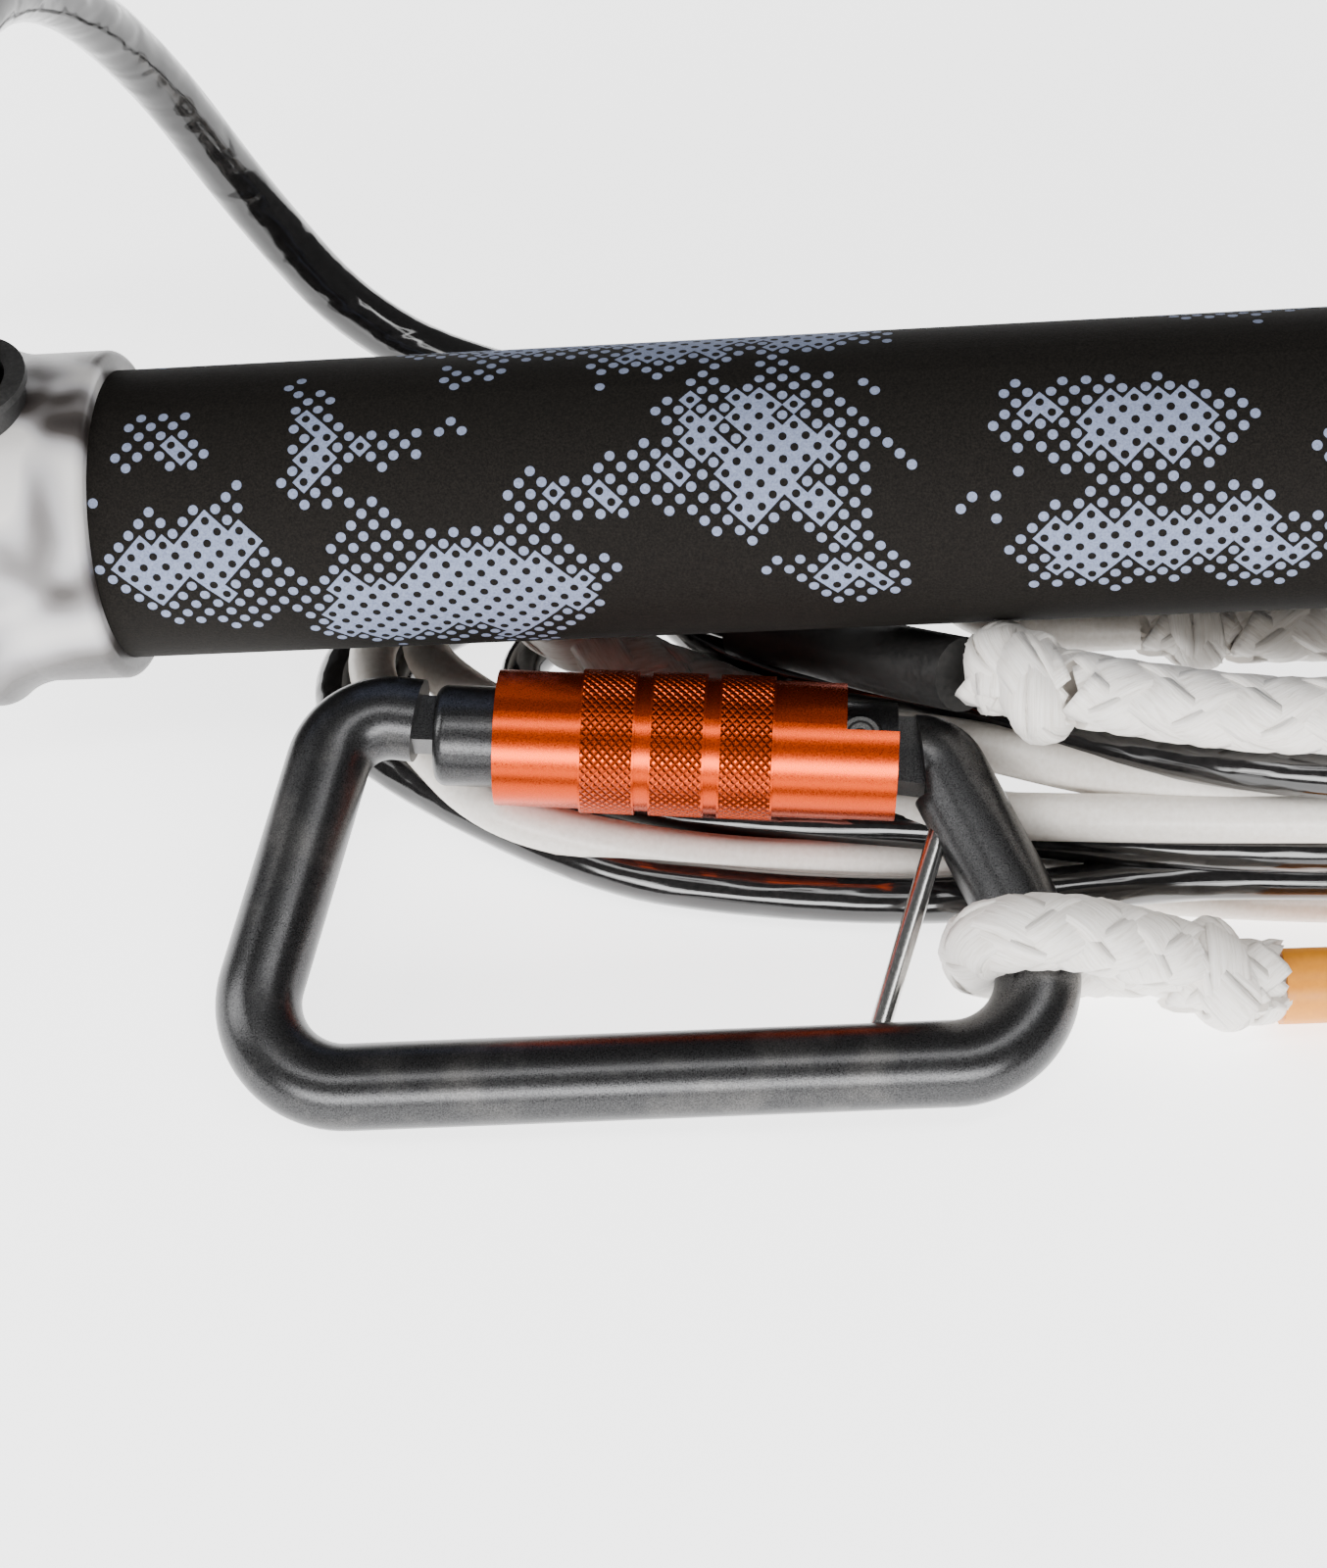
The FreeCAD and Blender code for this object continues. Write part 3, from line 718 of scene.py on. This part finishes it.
def white_route():
    """From the bare braid, twice round the hank and back to the knot under the handle."""
    first, second, third = (-14.5, 21.5), (-16.8, 3.1), (-18.0, 21.9)
    route = [(-47, 12, 5), (-36, 7.5, 7.5), (-22.5, 2.5, 11.6), (-9, -6, 16.5), (6, -12.5, 20.5)]
    route += front_run(first) + right_bend(first, (46.5, 9.3), 58) + back_run((46.5, 9.3))
    route += left_bend((46.5, 9.3), (-9, 9.3), 65, 9.0)
    route += [(-84, -6.6, 8.6), (-70, -9.2, 5.6), (-54, -10.6, 3.5), (-38, -11.2, 3.1), (-18, -12.5, 3.1)]
    route += [(2, -15.5, 3.1)]
    route += front_run(second) + right_bend(second, (48, 3.1), 69) + back_run((48, 3.1))
    route += left_bend((42, 9), (2, 8), 58, 9.0)
    route += [(-70, 2.5, 7.0), (-56, 0.0, 4.2), (-44, -2.5, 4.2), (-30, -6.0, 7.2), (-14, -11, 13)]
    route += [(2, -15.5, 18.5)]
    route += front_run(third) + right_bend(third, (41.5, 15.5), 50) + back_run((41.5, 15.5), 5)
    route += [(-16, 38.5, 15.6), (-25, 29, 16), (-21, 19.5, 17), (-10, 15, 18.6), (0.6, 14.8, 20)]
    return route


def black_route():
    """From the joint's cover, three times round the hank the other way, to the bridle's knot."""
    low, middle, top, inner = (-17.6, 9.3), (-18.0, 15.6), (-16.6, 28.2), (-10.5, 3.1)
    route = [(54, 70.5, 11.5), (70, 65.5, 14.5), (90, 57.5, 17), (110, 50, 17), (134, 41, 16)]
    route += list(reversed(right_bend(top, (41, 15.5), 52)[:-1]))
    route += list(reversed(front_run(top)))
    route += [(8, -12.5, 25.4), (-7, -3.5, 19.5), (-21, 8.5, 11.5), (-33, 14.5, 7), (-46, 19.5, 5)]
    route += [(-58, 26, 6.2), (-64, 35, 8.8), (-54, 42.5, 9.3)]
    route += list(reversed(back_run((40.3, 9.3), -28)))
    route += list(reversed(right_bend(middle, (40.3, 9.3), 62))) + list(reversed(front_run(middle)))
    route += [(3, -15, 12), (-14, -10.5, 8.6), (-30, -7.5, 6.8), (-46, -5.5, 4.4), (-64, -2.5, 3.1)]
    route += list(reversed(left_bend((41.8, 3.1), (-6.5, 3.1), 63, 3.1)))
    route += list(reversed(back_run((41.8, 3.1))))
    route += list(reversed(right_bend(low, (41.8, 3.1), 66))) + list(reversed(front_run(low)))
    route += [(4, -17, 8.8), (-12, -17.2, 5.2), (-30, -17.2, 3.2), (-52, -15.6, 3.1), (-70, -12, 3.1)]
    route += list(reversed(left_bend((47, 3.1), (-10, 3.1), 70, 3.1)))
    route += list(reversed(back_run((35.6, 3.1))))
    route += list(reversed(right_bend(inner, (35.6, 3.1), 57))) + list(reversed(front_run(inner)))
    route += [(6, -8, 4), (-14, -3.5, 3.1), (-34, 0.5, 3.1), (-52, 3.5, 3.1), (-68, 8, 3.1)]
    route += [(-80, 15, 3.1), (-80, 25, 3.1), (-68, 31, 4), (-62, 29, 9.5), (-51, 23, 11.6)]
    return list(reversed(route))


def cord_length(points):
    path = line_of(points)
    return sum((b - a).length for a, b in zip(path, path[1:]))


def make_hank(black, white):
    for name, points, material, slot, pieces in (
        (
            "black_line",
            black_route(),
            black,
            "black_vinyl",
            ["splice_cover_sleeve", "black_line_knot_strands", "hank_tie"],
        ),
        ("white_line", white_route(), white, "white_vinyl", ["white_line_knot_strands"]),
    ):
        piece = nurbs(name, points, LINE_R)
        on_root(piece, material, "line_hank", material_slot=slot)
        cord_length(points)


def make_bridle_and_yellow(black, yellow):
    left = [spot(HANDLE, -ROPE_HOLE_X, 0, 13.7), spot(HANDLE, -ROPE_HOLE_X, 0, 36.1)]
    left += [(-149.5, 37, 80), (-146, 57, 86), (-140, 76, 75), (-131, 88, 52), (-120, 89, 27), (-104, 81, 9)]
    left += [(-81, 74, 4.1), (-52, 70, 4.1), (-20, 69, 4.1), (10, 70.5, 4.4), (38.7, 71.7, 6)]
    right = [spot(HANDLE, ROPE_HOLE_X, 0, 13.7), spot(HANDLE, ROPE_HOLE_X, 0, 36.1)]
    right += [(137, 23, 113), (133, 43, 118), (128, 62, 106), (122, 75, 82), (114, 82, 56), (104, 83, 32)]
    right += [(90, 79, 14), (73, 75, 6.5), (53.3, 72.5, 6.5)]
    boat = [(15.3, -31.5, 5.2), (46, -30, 4.9), (88, -30.5, 4.9), (130, -30, 4.9), (172, -30.5, 4.9)]
    boat += [(208, -26, 4.9), (236, -9, 4.9), (246, 17, 4.9), (234, 45, 4.9), (206, 59, 4.9)]
    boat += [(168, 62.5, 4.9), (128, 62, 4.9)]
    boat += [(92, 62.5, 5.2)]
    boat_pieces = ["yellow_knot_strands", "eye_knot_strands", "carabiner_eye_strands"]
    for name, points, radius, material, slot, pieces in (
        ("bridle_left", left, BRIDLE_R, black, "black_vinyl", ["bridle_knot_strands"]),
        ("bridle_right", right, BRIDLE_R, black, "black_vinyl", []),
        ("yellow_line", boat, YELLOW_R, yellow, "yellow_vinyl", boat_pieces),
    ):
        piece = nurbs(name + "_coat", points, radius)
        on_root(piece, material, name, material_slot=slot)
        cord_length(points)


BLACK_BRAID = [(-9.6, -5.6, 31.5), (6, -10.6, 33.2), (22, -11.8, 33.9), (38, -10, 33.4), (52, -5, 31)]
BLACK_BRAID += [(65, 1, 28.6), (76, 4.3, 27.4)]
WHITE_BRAID = [(13.4, 14.6, 20), (27, 14.6, 20.4), (41, 14.2, 22), (53, 13.9, 24.4), (65, 13.9, 26.6)]
WHITE_BRAID += [(76, 13.9, 27.4)]
TAIL_BRAID = [(77.4, 62.5, 6.6), (58, 60.2, 5), (30, 58.2, 5), (0, 57.6, 5), (-30, 58.2, 5), (-55, 56.5, 7)]
TAIL_BRAID += [(-73, 49.5, 11), (-82, 38, 11.5), (-80, 27, 11.3), (-71, 20.5, 9.4), (-59, 16.8, 5.8)]
TAIL_BRAID += [(-48, 12.5, 5)]


def make_braids(white):
    for name, points, pieces in (
        ("black_line_braid", BLACK_BRAID, ["junction_knot_strands"]),
        ("white_line_braid", WHITE_BRAID, []),
        ("white_line_tail", TAIL_BRAID, []),
    ):
        path = line_of(points)
        piece = braided(name + "_strands", [(path, BRAID_R)], white)
        on_root(piece, white, name, material_slot="white_braid")
        cord_length(points)
        even(path, 0.002)


def make_knots(white):
    knots = [
        ("black_line_knot", (-16, -2.15, 29), (14.4, -7.3, 5.6), 7.6, KNOT_LENGTH, 0.2),
        ("white_line_knot", (7, 14.8, 20), (1, 0, 0), 6.3, 12.8, 2.2),
        ("junction_knot", (85, 9, 27.2), (1, 0, 0), 7.8, 18, 1.0),
        ("bridle_knot", (46, 72, KNOT_R), (1, 0, 0), KNOT_R, KNOT_LENGTH, 0.6),
        ("yellow_knot", (92 - KNOT_LENGTH / 2, 62.5, KNOT_R), (1, 0, 0), KNOT_R, KNOT_LENGTH, 1.6),
    ]
    for name, centre, along, radius, length, start in knots:
        paths = knot_paths(centre, along, radius, length, 0.6, start)
        piece = braided(name + "_strands", paths, white, lay=30.0)
        on_root(piece, white, name, material_slot="white_braid")


def make_eye(white):
    """The braid that comes from its knot, goes round the carabiner's corner and back into itself."""
    centre = Vector(spot(CARABINER, 48.1, 13.0, 0))
    reach = centre.z - 0.1 - BRAID_R * 0.86
    loop = [
        (19, 1.5, -2.5),
        (10, 3.2, -4.8),
        (4.0, 4.0, -reach + 0.4),
        (-2.5, 4.2, -reach),
        (-reach * 0.98, 2.6, -reach * 0.62),
        (-reach * 1.02, 0.2, reach * 0.5),
        (-3.5, -1.0, reach),
        (4.0, -0.8, reach * 0.96),
        (11, -0.4, reach * 0.55),
        (18, 0.0, 0.0),
    ]
    path = line_of([tuple(centre + Vector(p)) for p in loop])
    piece = braided("carabiner_eye_strands", [(path, BRAID_R)], white, lay=32.0)
    on_root(piece, white, "carabiner_eye", material_slot="white_braid")
    box_low, box_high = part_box("eye_knot")
    middle = (Vector(box_low) + Vector(box_high)) / 2 / MM
    paths = knot_paths(middle, (1, 0, 0), KNOT_R, KNOT_LENGTH, 0.6, 3.4)
    knot = braided("eye_knot_strands", paths, white, lay=30.0)
    on_root(knot, white, "eye_knot", material_slot="white_braid")


def make_cover(black):
    points = [(-51, 23, 11.6), (-42, 18.5, 13.3), (-33, 11.5, 17.3), (-23.4, 1.5, 26)]
    piece = nurbs("splice_cover_sleeve", points, COVER_R)
    on_root(piece, black, "splice_cover", material_slot="matt_cover")


# ---------------------------------------------------------------- build


set_camera()
set_stage()

black_vinyl = coated("black_vinyl", (0.004, 0.004, 0.004), (0.013, 0.012, 0.012), 0.12, 0.55, 0.6)
white_vinyl = coated("white_vinyl", (0.68, 0.63, 0.57), (0.8, 0.76, 0.71), 0.38, 0.12, 0.15)
yellow_vinyl = coated("yellow_vinyl", (0.66, 0.22, 0.0), (0.74, 0.27, 0.0), 0.42, 0.1, 0.0)
matt_cover = coated("matt_cover", (0.006, 0.006, 0.006), (0.02, 0.019, 0.018), 0.5, 0.25, 0.0)
braid_material = white_braid()

make_knots(braid_material)
make_eye(braid_material)
make_cover(matt_cover)
make_hank(black_vinyl, white_vinyl)
make_bridle_and_yellow(black_vinyl, yellow_vinyl)
make_braids(braid_material)

black_metal = blasted_black()
steel = polished_steel()
cap = cap_rubber()
rubber = plain_rubber()
floats = float_foam()
finishes = {
    "foam_grip": grip_foam(),
    "grip_core_tube": drawn_aluminium(),
    "end_cap_left": cap,
    "end_cap_right": cap,
    "rope_grommet_left": rubber,
    "rope_grommet_right": rubber,
    "float_plug_left": floats,
    "float_plug_right": floats,
    "carabiner_frame": black_metal,
    "gate_body": black_metal,
    "captive_pin": steel,
    "hinge_rivet": steel,
    "gate_plunger": steel,
    "gate_spring": steel,
    "sleeve_spring": steel,
    "sleeve_carrier": nylon(),
    "locking_sleeve": orange_anodised(),
    "hank_tie": strap(),
}
for node, material in finishes.items():
    part = bpy.data.objects[node]
    part.data.materials.clear()
    part.data.materials.append(material)
